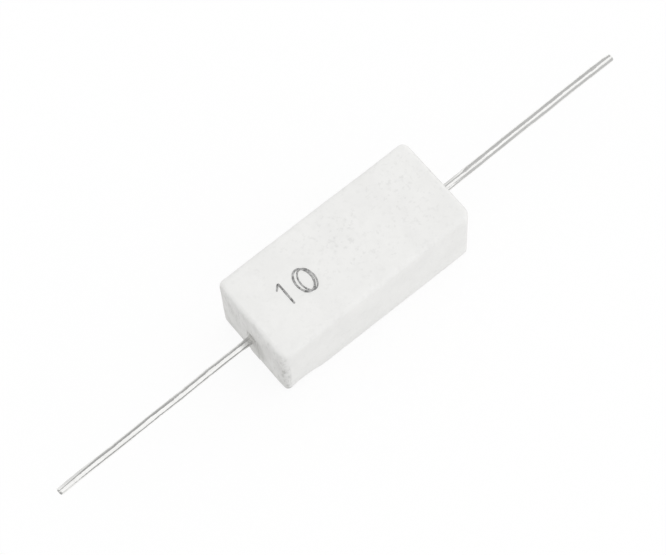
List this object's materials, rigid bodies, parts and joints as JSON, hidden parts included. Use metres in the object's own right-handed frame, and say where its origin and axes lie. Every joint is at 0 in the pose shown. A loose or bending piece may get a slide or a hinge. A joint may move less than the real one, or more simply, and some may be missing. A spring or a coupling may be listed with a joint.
{
  "type": "axial resistor",
  "caption": "Cement-filled wirewound power resistor: a long square-sided ceramic case with a straight tinned wire lead out of the middle of each end.",
  "frame": {"origin": "middle of the filled side, level with the case's rim, which is the face that the part stands on", "axes": "+X along the leads, +Y across the case, +Z from the filled side to the roof that carries the mark"},
  "size_m": [0.066, 0.0098, 0.009],
  "materials": {
    "case_ceramic": "matte",
    "cement": "matte",
    "rod_ceramic": "matte",
    "resistance_alloy": "satin",
    "cap_metal": "satin",
    "tinned_wire": "polished"
  },
  "bodies": {
    "root": {"case": "case_ceramic", "cement_fill": "cement", "core_rod": "rod_ceramic", "resistance_wire": "resistance_alloy", "left_end_cap": "cap_metal", "right_end_cap": "cap_metal", "left_lead": "tinned_wire", "right_lead": "tinned_wire"}
  },
  "joints": []
}
